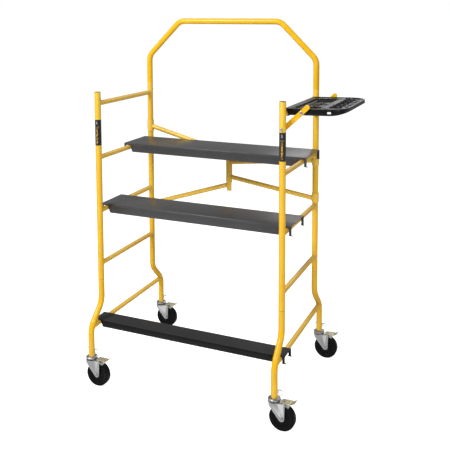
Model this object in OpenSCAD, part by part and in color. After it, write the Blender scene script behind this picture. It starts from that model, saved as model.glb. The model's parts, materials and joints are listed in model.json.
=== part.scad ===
// Folding baker scaffold: two ladder frames, a bi-fold rear brace, three hook-on decks,
// a plug-in guard rail, a fold-down tool tray and four removable locking casters.
// Millimetres. +X runs along the decks, +Y points to the guard rail side, +Z is up.

/* [Ladder frames] */
// Distance along the decks between the posts' axes
frame_w = 1008; // [900:1:1200]
// Distance between a ladder's front and rear post above the bends
frame_d = 548; // [546:1:600]
// How far each foot steps outwards below the bend
foot_flare = 102; // [95:1:120]
// Height of the posts' open tops
post_top = 1523; // [1500:1:1560]
// Outer diameter of the posts
post_d = 31.75; // [31.5:0.05:32]
// Wall of the posts
post_wall = 1.5; // [1.4:0.05:1.6]
// Height at which the posts start to bend
bend_top = 440; // [430:1:460]
// Angle of the S-bend from the vertical
bend_angle = 45; // [40:1:50]
// Centreline radius of the S-bend
bend_r = 85; // [75:1:90]
// Outer diameter of the ladder rungs and brace bars
rung_d = 25.4; // [25:0.1:25.8]
// Wall of the rungs and brace bars
rung_wall = 1.4; // [1.2:0.1:1.6]
// Height of the top rung
top_rung = 1464; // [1455:1:1470]
// Spacing of the upper four rungs
rung_pitch = 284; // [280:1:288]
// Height of the lowest rung
foot_rung = 301; // [299:1:304]

/* [Guard rail] */
// Height of the rail's top tube
rail_top = 1880; // [1850:1:1950]
// Length of the 45 degree corner, measured along X
rail_corner = 201; // [180:1:240]
// Centreline radius of the rail's bends
rail_r = 70; // [60:1:80]
// Wall of the rail
rail_wall = 1.5; // [1.4:0.05:1.6]
// Depth of the plug inside the post
plug_depth = 70; // [60:1:80]
// Distance of the snap button below the top of the post
button_drop = 37; // [30:1:42]
// Diameter of the snap button
button_d = 9.4; // [9:0.1:10]

/* [Decks] */
// How far a deck reaches past the rung's axis at each end
deck_over = 27; // [26:0.5:29]
// Height of a deck's top face above the axis of its rungs
deck_rise = 24; // [22:0.5:25]
// Height of the main decks' folded webs
web_h = 49; // [46:0.5:52]
// Sheet thickness of the decks
sheet_t = 1.8; // [1.5:0.1:2]
// Y of the top deck's front edge
top_front = 20; // [10:1:20]
// Width of the top deck along Y
top_w = 234; // [220:1:234]
// Y of the middle deck's front edge
middle_front = -216; // [-225:1:-210]
// Width of the middle deck along Y
middle_w = 197; // [190:1:205]
// Y of the bottom step's front edge
step_front = -306; // [-306:1:-290]
// Width of the bottom step along Y
step_w = 96; // [90:1:110]
// Height of the bottom step's top face above its rung's axis
step_rise = 15; // [15:0.5:17]
// Height of the bottom step's folded webs
step_web_h = 37; // [35:0.5:40]

/* [Tool tray] */
// Length of the tray along the ladder
tray_l = 484; // [470:1:484]
// Reach of the tray outwards from the rung's axis
tray_w = 285; // [275:1:295]
// Height of the tray's rim above the rung's axis
tray_rise = 23; // [20:0.5:26]
// Depth of the tray's skirt at the ladder
tray_skirt = 30; // [28:1:33]
// Upward tilt of the tray's outer edge
tray_tilt = 1.5; // [0:0.25:2]
// Drop of the arms' pivot below the top rung
pivot_drop = 70; // [66:1:74]

/* [Casters] */
// Wheel diameter
wheel_d = 127; // [124:0.5:128]
// Wheel tread width
wheel_w = 32; // [30:0.5:33]
// Distance of the wheel's axle behind the swivel axis
trail = 41; // [38:0.5:43]
// Height of the foot of the post above the floor
foot_h = 151; // [151:0.5:153]
// Height of the caster lock pin above the foot of the post
pin_rise = 39; // [36:1:44]

/* [Hidden] */
$fn = 48;
CORNERS = ["front_left", "front_right", "rear_left", "rear_right"];
CASTER_PIECES = ["stem", "balls", "fork", "shoe", "axle", "wheel", "pedal", "pin"];
FRAME_NODES = [
    "front_left_post", "rear_left_post", "left_rungs",
    "front_right_post", "rear_right_post", "right_rungs",
    "left_brace_sleeves", "left_brace_bars", "hinge_tube",
    "right_brace_sleeves", "right_brace_bars", "hinge_barrel",
    "guard_rail", "left_button", "right_button", "left_button_spring", "right_button_spring",
    "top_deck", "middle_deck", "bottom_step",
    "tool_tray", "front_tray_arm", "rear_tray_arm", "tray_pivot_bolts", "tray_bolts",
    "left_wrap_label", "right_wrap_label"
];

post_r = post_d / 2;
post_bore_r = post_r - post_wall;
rung_r = rung_d / 2;
half_w = frame_w / 2;
half_d = frame_d / 2;
weld_gap = 0.03;
run_gap = 0.07;
pin_play = 0.15;
face_gap = 0.1;
race_r = 30;
cut = 1;
swell = 0.05;
lap = 0.6;

// The S-bend: two arcs with a straight between them.
bend_straight = (foot_flare - 2 * bend_r * (1 - cos(bend_angle))) / sin(bend_angle);
bend_drop = 2 * bend_r * sin(bend_angle) + bend_straight * cos(bend_angle);
bend_low = bend_top - bend_drop;

// The row's origin is the middle of the floor under the whole object's box.
tray_low = tray_rise - tray_skirt;
skirt_lift = 12.8;
tray_reach = half_w + tray_w * cos(tray_tilt) - (tray_low + skirt_lift) * sin(tray_tilt);
box_left = -half_w - max(deck_over, race_r);
origin_x = (box_left + tray_reach) / 2;

rungs = [foot_rung, for (i = [3:-1:0]) top_rung - i * rung_pitch];
deck_rungs = [rungs[3], rungs[2]];

yellow = [0.96, 0.72, 0.08];
black = [0.09, 0.09, 0.10];
charcoal = [0.17, 0.17, 0.19];
zinc = [0.75, 0.76, 0.78];
khaki = [0.66, 0.62, 0.45];

// ---------------------------------------------------------------- helpers

function side_x(left) = left ? -half_w : half_w;
function arc_points(cx, cy, r, a0, a1, n) =
    [for (i = [0:n]) let (a = a0 + (a1 - a0) * i / n) [cx + r * cos(a), cy + r * sin(a)]];

module place() { translate([-origin_x, 0, 0]) children(); }
module tube(r, wall, h) {
    difference() {
        cylinder(r = r, h = h);
        translate([0, 0, -cut]) cylinder(r = r - wall, h = h + 2 * cut);
    }
}
// Part of a ring: starts at the origin going up and turns towards +Y. It is a hair thicker
// than the straights, and they run a little way into it, so that all of them fuse cleanly.
module bend(r, big_r, angle) {
    translate([0, big_r, 0]) rotate([90, 0, -90])
        rotate_extrude(angle = angle) translate([big_r, 0]) circle(r = r + swell);
}
// A hex head or nut standing on z = 0.
module hex(across, h) { cylinder(d = across / cos(30), h = h, $fn = 6); }

// ---------------------------------------------------------------- ladder frames

// Solid rod of radius r along a post's centreline; dir is -1 for a front post, 1 for a rear one.
module post_rod(r, dir, low, high) {
    mirror([0, dir < 0 ? 1 : 0, 0]) {
        translate([0, half_d, bend_top - lap]) cylinder(r = r, h = high - bend_top + lap);
        translate([0, half_d, bend_top]) mirror([0, 0, 1]) bend(r, bend_r, bend_angle);
        translate([0, half_d + bend_r * (1 - cos(bend_angle)), bend_top - bend_r * sin(bend_angle)])
            rotate([180 + bend_angle, 0, 0]) translate([0, 0, -lap])
                cylinder(r = r, h = bend_straight + 2 * lap);
        translate([0, half_d + foot_flare, bend_low]) mirror([0, 1, 0]) bend(r, bend_r, bend_angle);
        translate([0, half_d + foot_flare, low]) cylinder(r = r, h = bend_low - low + lap);
    }
}
module post_holes(left, dir) {
    translate([side_x(left), dir * half_d, post_top - button_drop])
        rotate([0, left ? 90 : -90, 0]) cylinder(d = button_d + pin_play, h = post_r + cut);
    translate([side_x(left), dir * (half_d + foot_flare), foot_h + pin_rise])
        rotate([0, 90, 0]) cylinder(d = pin_d + pin_play, h = post_d + 2 * cut, center = true);
    if (!left) translate([side_x(left), dir * half_d, top_rung - pivot_drop])
        rotate([90, 0, 0]) cylinder(d = pivot_d + pin_play, h = post_d + 2 * cut, center = true);
}
module post(left, dir) {
    color(yellow) place() difference() {
        translate([side_x(left), 0, 0]) post_rod(post_r, dir, foot_h, post_top);
        translate([side_x(left), 0, 0]) post_rod(post_bore_r, dir, foot_h - cut, post_top + cut);
        post_holes(left, dir);
    }
}
module ladder_rungs(left) {
    color(yellow) place() translate([side_x(left), 0, 0]) difference() {
        for (i = [0:len(rungs) - 1])
            translate([0, -rung_half(i), rungs[i]]) rotate([-90, 0, 0])
                tube(rung_r, rung_wall, 2 * rung_half(i));
        for (dir = [-1, 1]) post_rod(post_r + weld_gap, dir, foot_h, post_top);
    }
}
function rung_half(i) = i == 0 ? half_d + foot_flare - post_r / 2 : half_d - post_r / 2;

// ---------------------------------------------------------------- bi-fold rear brace

sleeve_r = 19;
hinge_r = 13.5;
barrel_r = 17.5;
left_sleeves = [[766, 60], [1233, 66]];
right_sleeves = [[912, 50], [1114, 50]];
left_bars = [[796, 959], [1265, 1135]];
right_bars = [[930, 1005], [1140, 1087]];
hinge_span = [924, 1166];
barrel_span = [973, 1117];

module sleeves(left, spans) {
    color(yellow) place() for (s = spans)
        translate([side_x(left), half_d, s[0]]) tube(sleeve_r, sleeve_r - post_r - run_gap, s[1]);
}
// A bar from the post's axis at height z0 to the hinge's axis at height z1.
module brace_bar(left, z0, z1) {
    dz = z1 - z0;
    span = norm([half_w, dz]);
    translate([side_x(left), half_d, z0])
        rotate([0, (left ? 1 : -1) * atan2(half_w, dz), 0]) tube(rung_r, rung_wall, span);
}
module brace_bars(left, bars, inner_r) {
    color(yellow) place() difference() {
        for (b = bars) brace_bar(left, b[0], b[1]);
        translate([side_x(left), half_d, foot_h]) cylinder(r = sleeve_r + weld_gap, h = post_top);
        translate([0, half_d, foot_h]) cylinder(r = inner_r + weld_gap, h = post_top);
    }
}
module hinge_tube() {
    color(yellow) place() translate([0, half_d, hinge_span[0]])
        tube(hinge_r, 2, hinge_span[1] - hinge_span[0]);
}
module hinge_barrel() {
    color(yellow) place() translate([0, half_d, barrel_span[0]])
        tube(barrel_r, barrel_r - hinge_r - run_gap, barrel_span[1] - barrel_span[0]);
}

// ---------------------------------------------------------------- guard rail

rail_bend = 45;
rail_tangent = rail_r * tan(rail_bend / 2);
rail_knee = rail_top - rail_corner;
rail_low = post_top - plug_depth;
rail_slope = rail_corner * sqrt(2) - 2 * rail_tangent;
rail_seat = post_top + face_gap;
plug_r = post_bore_r - 0.085;
shoulder_h = 6;

// Solid rod of radius r along the left half of the rail's centreline, from height low up.
module rail_half(r, low) {
    translate([-half_w, half_d, low]) cylinder(r = r, h = rail_knee - rail_tangent - low + lap);
    translate([-half_w, half_d, rail_knee - rail_tangent])
        rotate([0, 0, -90]) bend(r, rail_r, rail_bend);
    translate([-half_w, half_d, rail_knee])
        translate([rail_tangent * sin(rail_bend), 0, rail_tangent * cos(rail_bend)])
        rotate([0, rail_bend, 0]) translate([0, 0, -lap]) cylinder(r = r, h = rail_slope + 2 * lap);
    translate([-half_w + rail_corner + rail_tangent, half_d, rail_top])
        rotate([-90, 0, 90]) bend(r, rail_r, rail_bend);
}
module rail_rod(r, low) {
    rail_half(r, low);
    mirror([1, 0, 0]) rail_half(r, low);
    straight = frame_w - 2 * (rail_corner + rail_tangent) + 2 * lap;
    translate([-straight / 2, half_d, rail_top]) rotate([0, 90, 0]) cylinder(r = r, h = straight);
}
// The rail is as thick as the posts; each end is drawn down to a plug that fits inside one.
module guard_rail() {
    color(yellow) place() difference() {
        union() {
            rail_rod(post_r, rail_seat);
            for (x = [-half_w, half_w]) translate([x, half_d, rail_low])
                cylinder(r = plug_r, h = rail_seat + shoulder_h / 2 - rail_low);
        }
        rail_rod(post_r - rail_wall, rail_seat + shoulder_h);
        for (x = [-half_w, half_w]) translate([x, half_d, rail_low - cut])
            cylinder(r = plug_r - rail_wall, h = rail_seat + shoulder_h - rail_low + 2 * cut);
        for (left = [true, false]) translate([side_x(left), half_d, post_top - button_drop])
            rotate([0, left ? 90 : -90, 0]) cylinder(d = button_d + pin_play, h = post_r);
    }
}

// Spring button: a flanged pin that comes out through the plug and the post.
button_reach = post_r + 3.4;
button_cone = 2;
flange_out = 10.6;
flange_in = flange_out - 1.6;
module snap_button(left) {
    color(zinc) place() translate([side_x(left), half_d, post_top - button_drop])
        rotate([0, left ? 90 : -90, 0]) {
            translate([0, 0, flange_in]) cylinder(d = button_d + 2, h = flange_out - flange_in);
            translate([0, 0, flange_in]) cylinder(d = button_d, h = button_reach - button_cone - flange_in);
            translate([0, 0, button_reach - button_cone])
                cylinder(d1 = button_d, d2 = button_d - 3, h = button_cone);
        }
}
// The button's leaf spring, folded flat against the far wall of the plug.
leaf_w = 7;
leaf_t = 0.8;
leaf_h = 48;
leaf_x = -11.9;
leaf_tip = 2.4;
leaf_r = 5;
module button_spring(left) {
    color(zinc) place() translate([side_x(left), half_d, post_top - button_drop])
        mirror([left ? 0 : 1, 0, 0]) rotate([90, 0, 0]) translate([0, 0, -leaf_w / 2])
            linear_extrude(leaf_w) polygon(concat(
                [[leaf_x, 8], [leaf_x, leaf_r - leaf_h]],
                arc_points(leaf_x + leaf_r, leaf_r - leaf_h, leaf_r, 180, 330, 8),
                [[leaf_tip, -9], [leaf_tip, 6], [leaf_tip - leaf_t, 6], [leaf_tip - leaf_t, -9]],
                arc_points(leaf_x + leaf_r, leaf_r - leaf_h, leaf_r - leaf_t, 330, 180, 8),
                [[leaf_x + leaf_t, leaf_r - leaf_h], [leaf_x + leaf_t, 8]]));
}

// ---------------------------------------------------------------- decks

notch_half = rung_r + 1.2;
lip_w = 12;
web_notch = 8;
web_cut = 10;
hook_tab = 21;
tab_nip = 4;
foot_out = 5;
deck_end = half_w + deck_over;
hook_side = half_w + notch_half;
// Half of a web's side view; the points in hook are its end, which drops over a rung.
function web_half(top, low, hook) = let (side = half_w - notch_half, seat = rung_r + weld_gap)
    concat([[0, top], [deck_end, top]], hook, [
        [hook_side, seat], [side, seat], [side, 2], [side - web_notch, low + web_notch],
        [side - web_cut, low], [0, low]
    ]);
// The right-hand end is a leg as deep as the web, the left-hand end a short tab.
module web_side(rise, high) {
    low = rise - high;
    tab = rise - hook_tab;
    polygon(web_half(rise, low, [[deck_end, low], [hook_side, low]]));
    mirror([1, 0]) polygon(web_half(rise, low, [
        [deck_end, tab + tab_nip], [deck_end - tab_nip, tab], [hook_side + tab_nip / 2, tab],
        [hook_side, tab + tab_nip / 2]
    ]));
}
// Each right-hand leg stands on a folded foot that sticks out past the deck.
module deck(y0, width, z, rise, high) {
    low = z + rise - high;
    flat = 2 * (half_w - notch_half - web_cut);
    translate([-deck_end, y0, z + rise - sheet_t]) cube([2 * deck_end, width, sheet_t]);
    for (y = [y0, y0 + width - sheet_t])
        translate([0, y + sheet_t, z]) rotate([90, 0, 0]) linear_extrude(sheet_t) web_side(rise, high);
    for (y = [y0, y0 + width - lip_w]) {
        translate([-flat / 2, y, low]) cube([flat, lip_w, sheet_t]);
        translate([hook_side, y, low]) cube([deck_end - hook_side + foot_out, lip_w, sheet_t]);
    }
}
module top_deck() { color(charcoal) place() deck(top_front, top_w, deck_rungs[0], deck_rise, web_h); }
module middle_deck() {
    color(charcoal) place() deck(middle_front, middle_w, deck_rungs[1], deck_rise, web_h);
}
module bottom_step() {
    color(black) place() deck(step_front, step_w, rungs[0], step_rise, step_web_h);
}

// ---------------------------------------------------------------- tool tray

tray_t = 3;
pivot_d = 8;
arm_t = 8;
arm_w = 24;
arm_y = tray_l / 2 + 0.3;
arm_angle = 43.5;
arm_len = 150;
arm_bolt = 112;
bolt_d = 6;
clip_gap = rung_r + 0.1;
clip_r = clip_gap + 4.4;
tray_corner = 90;
lift_span = 70;
edge_x = -6;
well = [30, 116, 380];
well_deep = 18;
cup_r = 26;
cup_deep = 20;
cup_x = 216;
cup_pitch = 70;
cups = [for (i = [-2:2]) [cup_x, cup_pitch * i]];
lug_hole = [201, 17, 9];
lug_low = 2;
lug_deep = 12;

// Tray frame: origin on the rung's axis, X outwards, Z up, tilted about the rung.
module in_tray() { translate([half_w, 0, top_rung]) rotate([0, -tray_tilt, 0]) children(); }
function tray_outline(inset) = let (
    h = tray_l / 2 - inset,
    c = tray_corner,
    r = tray_corner - inset,
    x = tray_w - c
) concat([[edge_x + inset, -h]], arc_points(x, -tray_l / 2 + c, r, -90, 0, 10),
    arc_points(x, tray_l / 2 - c, r, 0, 90, 10), [[edge_x + inset, h]]);

// The skirt's lower edge curves up towards the tray's outer edge.
module skirt_rise(low) {
    x0 = tray_w - lift_span;
    steps = 10;
    translate([0, tray_l, 0]) rotate([90, 0, 0]) linear_extrude(2 * tray_l) polygon(concat(
        [for (i = [0:steps]) [x0 + lift_span * i / steps, low + skirt_lift * pow(i / steps, 2)]],
        [[tray_w + cut, low + skirt_lift], [tray_w + cut, low - cut], [x0, low - cut]]));
}
module tray_shell() {
    low = tray_low;
    difference() {
        translate([0, 0, low]) linear_extrude(tray_skirt) polygon(tray_outline(0));
        translate([0, 0, low - cut])
            linear_extrude(tray_skirt - tray_t + cut) polygon(tray_outline(tray_t));
        translate([well[0], -well[2] / 2, low]) cube([well[1], well[2], tray_skirt + cut]);
        for (c = cups) translate([c[0], c[1], low]) cylinder(r = cup_r, h = tray_skirt + cut);
        translate([edge_x - cut, -tray_l / 2 - cut, low - cut])
            cube([notch_half - edge_x + cut, tray_l + 2 * cut, clip_gap - low + cut]);
        skirt_rise(low);
    }
}
module tray_well() {
    floor_z = tray_rise - well_deep;
    difference() {
        translate([well[0] - tray_t, -well[2] / 2 - tray_t, floor_z - tray_t])
            cube([well[1] + 2 * tray_t, well[2] + 2 * tray_t, well_deep]);
        translate([well[0], -well[2] / 2, floor_z]) cube([well[1], well[2], well_deep]);
    }
}
module tray_cups() {
    for (c = cups) translate([c[0], c[1], tray_rise - cup_deep]) difference() {
        cylinder(r = cup_r + tray_t, h = cup_deep - tray_t / 2);
        translate([0, 0, tray_t]) cylinder(r = cup_r, h = cup_deep);
        translate([0, 0, -cut]) cylinder(r = cup_r / 3, h = cup_deep);
    }
}
// The clip is open towards the decks, so the tray swings off the rung.
module tray_clip() {
    clip_l = tray_l - 60;
    translate([0, clip_l / 2, 0]) rotate([90, 0, 0]) linear_extrude(clip_l) polygon(concat(
        [[-1, tray_rise - tray_t / 2], [-1, clip_gap]],
        arc_points(0, 0, clip_gap, 80, -90, 14),
        arc_points(0, 0, clip_r, -90, 0, 8),
        [[clip_r, tray_rise - tray_t / 2]]));
}
module tool_tray() {
    color(black) place() in_tray() difference() {
        union() {
            tray_shell();
            tray_well();
            tray_cups();
            tray_clip();
        }
        translate([lug_hole[0], -tray_l / 2 - cut, lug_low])
            cube([lug_hole[1], lug_deep, lug_hole[2]]);
        untilt() for (s = [-1, 1])
            translate([arm_point(arm_bolt)[0], s * tray_l / 2, arm_point(arm_bolt)[1]])
                rotate([90, 0, 0]) cylinder(d = bolt_d + pin_play, h = 20, center = true);
    }
}
// From the tilted tray frame back to one that is level, with its origin on the rung.
module untilt() { rotate([0, tray_tilt, 0]) children(); }
function arm_point(s) = [s * cos(arm_angle), s * sin(arm_angle) - pivot_drop];

module tray_arm(s) {
    color(yellow) place() translate([half_w, s > 0 ? arm_y + arm_t : -arm_y, top_rung - pivot_drop])
        rotate([90, 0, 0]) rotate([0, 0, arm_angle]) difference() {
            linear_extrude(arm_t) polygon(concat(
                arc_points(0, 0, arm_w / 2, 90, 270, 14), arc_points(arm_len, 0, arm_w / 2, -90, 90, 14)));
            translate([0, 0, -cut]) cylinder(d = pivot_d + pin_play, h = arm_t + 2 * cut);
            translate([arm_bolt, 0, -cut]) cylinder(d = bolt_d + pin_play, h = arm_t + 2 * cut);
        }
}
// Pivot bolt: head outside the post, then a spacer, the arm and a lock nut inside it.
pivot_head = 13;
pivot_head_h = 6;
spacer_r = 8;
module tray_pivot_bolts() {
    arm_out = half_d - arm_y - arm_t;
    arm_in = half_d - arm_y;
    color(zinc) place() for (s = [-1, 1])
        translate([half_w, s * half_d, top_rung - pivot_drop]) rotate([s * 90, 0, 0]) {
            translate([0, 0, -post_r - face_gap - pivot_head_h]) hex(pivot_head, pivot_head_h);
            translate([0, 0, -post_r - cut]) cylinder(d = pivot_d, h = post_r + arm_in + 8 + cut);
            translate([0, 0, post_r + face_gap])
                cylinder(r = spacer_r, h = arm_out - post_r - 2 * face_gap);
            translate([0, 0, arm_in + face_gap]) hex(pivot_head, pivot_head_h);
        }
}
// Tray bolt: a round head outside the arm, a nut inside the skirt.
module tray_bolts() {
    at = arm_point(arm_bolt);
    grip = arm_t + tray_t + 0.5;
    nut_h = 4;
    color(zinc) place() for (s = [-1, 1])
        translate([half_w + at[0], s * (arm_y + arm_t + face_gap), top_rung + at[1]])
            rotate([s * 90, 0, 0]) {
                mirror([0, 0, 1]) cylinder(d = 11, h = 3);
                translate([0, 0, -cut]) cylinder(d = bolt_d, h = grip + nut_h + cut + 1);
                translate([0, 0, grip]) hex(10, nut_h);
            }
}

// ---------------------------------------------------------------- wrap labels

label_low = 1245;
label_h = 135;
label_t = 0.3;
module wrap_label(left) {
    color(black) place() translate([side_x(left), -half_d, label_low])
        tube(post_r + weld_gap + label_t, label_t, label_h);
}

// ---------------------------------------------------------------- casters
// Caster frame: origin on the floor under the swivel axis, the wheel trails towards +X.

axle_z = wheel_d / 2;
axle_d = 10;
pin_d = 6;
stem_r = post_bore_r - 0.2;
stem_h = 74;
race_low = foot_h - 11;
fork_top = race_low - 6;
fork_t = 3.5;
fork_in = wheel_w / 2 + 3;
fork_out = fork_in + 2.5;
king_r = 6;
hub_w = 36;
pedal_pivot = [52, fork_top + 1];
pedal_pin_d = 5;
pedal_w = 36;
pedal_t = 3;
pedal_in = 38;
pedal_tip = 106;
pedal_lug_y = 12;
pedal_lug_t = 2.5;

module caster_at(corner) {
    left = corner == 0 || corner == 2;
    dir = corner < 2 ? -1 : 1;
    place() translate([side_x(left), dir * (half_d + foot_flare), 0]) children();
}
king_head_h = 4.6;
module caster_stem() {
    seat = foot_h - weld_gap;
    king_low = fork_top - fork_t - king_head_h - 0.4;
    color(zinc) difference() {
        union() {
            rotate_extrude() polygon([
                [0, foot_h + stem_h], [stem_r - 3, foot_h + stem_h], [stem_r, foot_h + stem_h - 3],
                [stem_r, seat], [race_r - 6, seat], [race_r, seat - 4], [race_r, race_low + 2],
                [race_r - 2, race_low], [0, race_low]
            ]);
            translate([0, 0, king_low]) cylinder(r = king_r, h = race_low - king_low + cut);
            translate([0, 0, king_low]) cylinder(r = king_r + 4, h = king_head_h);
        }
        translate([0, 0, foot_h + pin_rise]) rotate([0, 90, 0])
            cylinder(d = pin_d + pin_play, h = post_d + 2 * cut, center = true);
    }
}
ball_count = 16;
ball_d = 5.6;
module caster_balls() {
    color(charcoal) for (i = [0:ball_count - 1]) rotate([0, 0, i * 360 / ball_count])
        translate([race_r - 7, 0, (race_low + fork_top) / 2]) sphere(d = ball_d);
}
cheek_r = 14;
cheek_back = -22;
ear_r = 6;
ear_top = fork_top + 5.5;
// Two cheeks under a round top plate; an ear on each cheek carries the pedal's pin.
module caster_fork() {
    plate_low = fork_top - fork_t;
    cheek = concat(
        [[cheek_back, plate_low], [cheek_back, fork_top - 16]],
        arc_points(trail, axle_z, cheek_r, 212, 356, 12),
        [[pedal_pivot[0] + ear_r, plate_low], [pedal_pivot[0] + ear_r, ear_top - 3],
         [pedal_pivot[0] + ear_r - 3, ear_top], [pedal_pivot[0] - ear_r + 3, ear_top],
         [pedal_pivot[0] - ear_r, ear_top - 3], [pedal_pivot[0] - ear_r, plate_low]]);
    color(zinc) difference() {
        union() {
            translate([0, 0, plate_low]) cylinder(r = race_r, h = fork_t);
            translate([0, -fork_out, plate_low]) cube([pedal_pivot[0] + 2, 2 * fork_out, fork_t]);
            for (y = [-fork_in, fork_out])
                translate([0, y, 0]) rotate([90, 0, 0]) linear_extrude(fork_out - fork_in) polygon(cheek);
        }
        translate([0, 0, plate_low - cut]) cylinder(r = king_r + run_gap, h = fork_t + 2 * cut);
        translate([trail, 0, axle_z]) rotate([90, 0, 0])
            cylinder(d = axle_d + pin_play, h = 2 * fork_out + 2 * cut, center = true);
        translate([pedal_pivot[0], 0, pedal_pivot[1]]) rotate([90, 0, 0])
            cylinder(d = pedal_pin_d + pin_play, h = 2 * fork_out + 2 * cut, center = true);
        translate([34, -15, plate_low - cut]) cube([30, 30, fork_t + 2 * cut]);
    }
}
// Brake shoe: a curved plate over the tread, held between the cheeks under the pedal.
module caster_shoe() {
    inner = wheel_d / 2 + 1.2;
    half = fork_in - face_gap;
    color(zinc) translate([trail, half, axle_z]) rotate([90, 0, 0]) linear_extrude(2 * half)
        polygon(concat(arc_points(0, 0, inner, 59, 82, 8), arc_points(0, 0, inner + 2.2, 82, 59, 8)));
}
module caster_axle() {
    nut = 16;
    nut_h = 6;
    end = fork_out + nut_h + 1;
    color(zinc) translate([trail, 0, axle_z]) rotate([90, 0, 0]) {
        translate([0, 0, -end]) cylinder(d = axle_d, h = 2 * end);
        for (z = [fork_out + face_gap, -fork_out - face_gap - nut_h]) translate([0, 0, z]) hex(nut, nut_h);
    }
}
module caster_wheel() {
    r = wheel_d / 2;
    t = wheel_w / 2;
    hub = hub_w / 2;
    color(black) translate([trail, 0, axle_z]) rotate([90, 0, 0]) rotate_extrude() polygon([
        [axle_d / 2 + run_gap, -hub], [14, -hub], [16, -t + 4], [40, -t + 5], [43, -t + 1], [52, -t + 1],
        [54, -t + 2.5], [56, -t], [r - 4, -t], [r - 1, -t + 3], [r, -t + 7],
        [r, t - 7], [r - 1, t - 3], [r - 4, t], [56, t], [54, t - 2.5],
        [52, t - 1], [43, t - 1], [40, t - 5], [16, t - 4], [14, hub], [axle_d / 2 + run_gap, hub]
    ]);
}
// Brake pedal: a ribbed plate with a turned-up tip, on a pin through the fork's ears.
module caster_pedal() {
    z = fork_top + 5;
    rib = 2;
    top = z + pedal_t;
    color(khaki) {
        translate([0, pedal_w / 2, 0]) rotate([90, 0, 0]) linear_extrude(pedal_w) polygon([
            [pedal_in, z], [58, z], [60, z + rib], [68, z + rib], [70, z], [74, z], [76, z + rib],
            [84, z + rib], [86, z], [92, z], [pedal_tip, z + 9], [pedal_tip - 2, z + 12],
            [91, top + 0.5], [87, top], [84, top + rib], [76, top + rib], [74, top], [70, top],
            [68, top + rib], [60, top + rib], [58, top], [pedal_in, top]
        ]);
        for (s = [-1, 1]) translate([0, s * pedal_lug_y + pedal_lug_t / 2, 0]) rotate([90, 0, 0])
            linear_extrude(pedal_lug_t) polygon([
                [pedal_pivot[0] - 4, pedal_pivot[1] - 4], [pedal_pivot[0] + 4, pedal_pivot[1] - 4],
                [pedal_pivot[0] + 5, z + 1], [pedal_pivot[0] - 5, z + 1]
            ]);
        translate([pedal_pivot[0], 0, pedal_pivot[1]]) rotate([90, 0, 0])
            cylinder(d = pedal_pin_d, h = 2 * fork_out + 3, center = true);
    }
}
// Lock pin through the post and the stem, with a wire ring on its outer end.
pin_in = -23;
pin_out = 33;
ring_r = 12;
ring_wire = 1.3;
module caster_pin() {
    z = foot_h + pin_rise;
    color(zinc) {
        translate([pin_in, 0, z]) rotate([0, 90, 0]) cylinder(d = pin_d, h = pin_out - pin_in);
        translate([pin_out - 2, 0, z - ring_r])
            rotate([90, 0, 0]) rotate_extrude() translate([ring_r, 0]) circle(r = ring_wire);
    }
}
module caster(corner, piece) {
    caster_at(corner) {
        if (piece == "stem") caster_stem();
        if (piece == "balls") caster_balls();
        if (piece == "fork") caster_fork();
        if (piece == "shoe") caster_shoe();
        if (piece == "axle") caster_axle();
        if (piece == "wheel") caster_wheel();
        if (piece == "pedal") caster_pedal();
        if (piece == "pin") caster_pin();
    }
}

// ---------------------------------------------------------------- what is drawn

post(true, -1);  // front_left_post
post(true, 1);  // rear_left_post
ladder_rungs(true);  // left_rungs
post(false, -1);  // front_right_post
post(false, 1);  // rear_right_post
ladder_rungs(false);  // right_rungs
sleeves(true, left_sleeves);  // left_brace_sleeves
brace_bars(true, left_bars, hinge_r);  // left_brace_bars
hinge_tube();
sleeves(false, right_sleeves);  // right_brace_sleeves
brace_bars(false, right_bars, barrel_r);  // right_brace_bars
hinge_barrel();
guard_rail();
snap_button(true);  // left_button
snap_button(false);  // right_button
button_spring(true);  // left_button_spring
button_spring(false);  // right_button_spring
top_deck();
middle_deck();
bottom_step();
tool_tray();
tray_arm(-1);  // front_tray_arm
tray_arm(1);  // rear_tray_arm
tray_pivot_bolts();
tray_bolts();
wrap_label(true);  // left_wrap_label
wrap_label(false);  // right_wrap_label
for (c = [0:3]) for (p = CASTER_PIECES)
    caster(c, p);
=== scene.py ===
"""Looks for the folding baker scaffold. Metres, in the same frame as the CAD."""
import json
import math

import bmesh
import bpy
from mathutils import Matrix, Vector


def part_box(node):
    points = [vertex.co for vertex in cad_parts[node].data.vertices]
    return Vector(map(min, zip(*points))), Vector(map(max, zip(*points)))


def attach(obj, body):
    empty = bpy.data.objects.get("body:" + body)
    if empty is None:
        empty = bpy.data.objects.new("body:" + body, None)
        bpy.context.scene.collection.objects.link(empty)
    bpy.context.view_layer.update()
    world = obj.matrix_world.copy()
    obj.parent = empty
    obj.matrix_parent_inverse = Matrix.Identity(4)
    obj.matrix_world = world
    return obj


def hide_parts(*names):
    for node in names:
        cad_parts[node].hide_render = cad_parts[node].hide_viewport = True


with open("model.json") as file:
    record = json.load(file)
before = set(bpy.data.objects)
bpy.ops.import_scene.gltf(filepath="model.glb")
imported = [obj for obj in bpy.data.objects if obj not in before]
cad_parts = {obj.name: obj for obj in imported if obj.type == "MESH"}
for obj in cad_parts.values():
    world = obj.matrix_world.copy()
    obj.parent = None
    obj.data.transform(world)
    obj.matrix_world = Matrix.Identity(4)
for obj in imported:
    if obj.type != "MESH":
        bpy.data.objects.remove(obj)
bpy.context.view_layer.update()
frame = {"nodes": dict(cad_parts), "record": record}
MM = 0.001
CORNERS = ("front_left", "front_right", "rear_left", "rear_right")

# ---------------------------------------------------------------- sizes, read from the frame


def middle(node):
    """The middle of a CAD node's box."""
    low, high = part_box(node)
    return (low + high) / 2


def size(node):
    """The size of a CAD node's box."""
    low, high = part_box(node)
    return high - low


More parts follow.
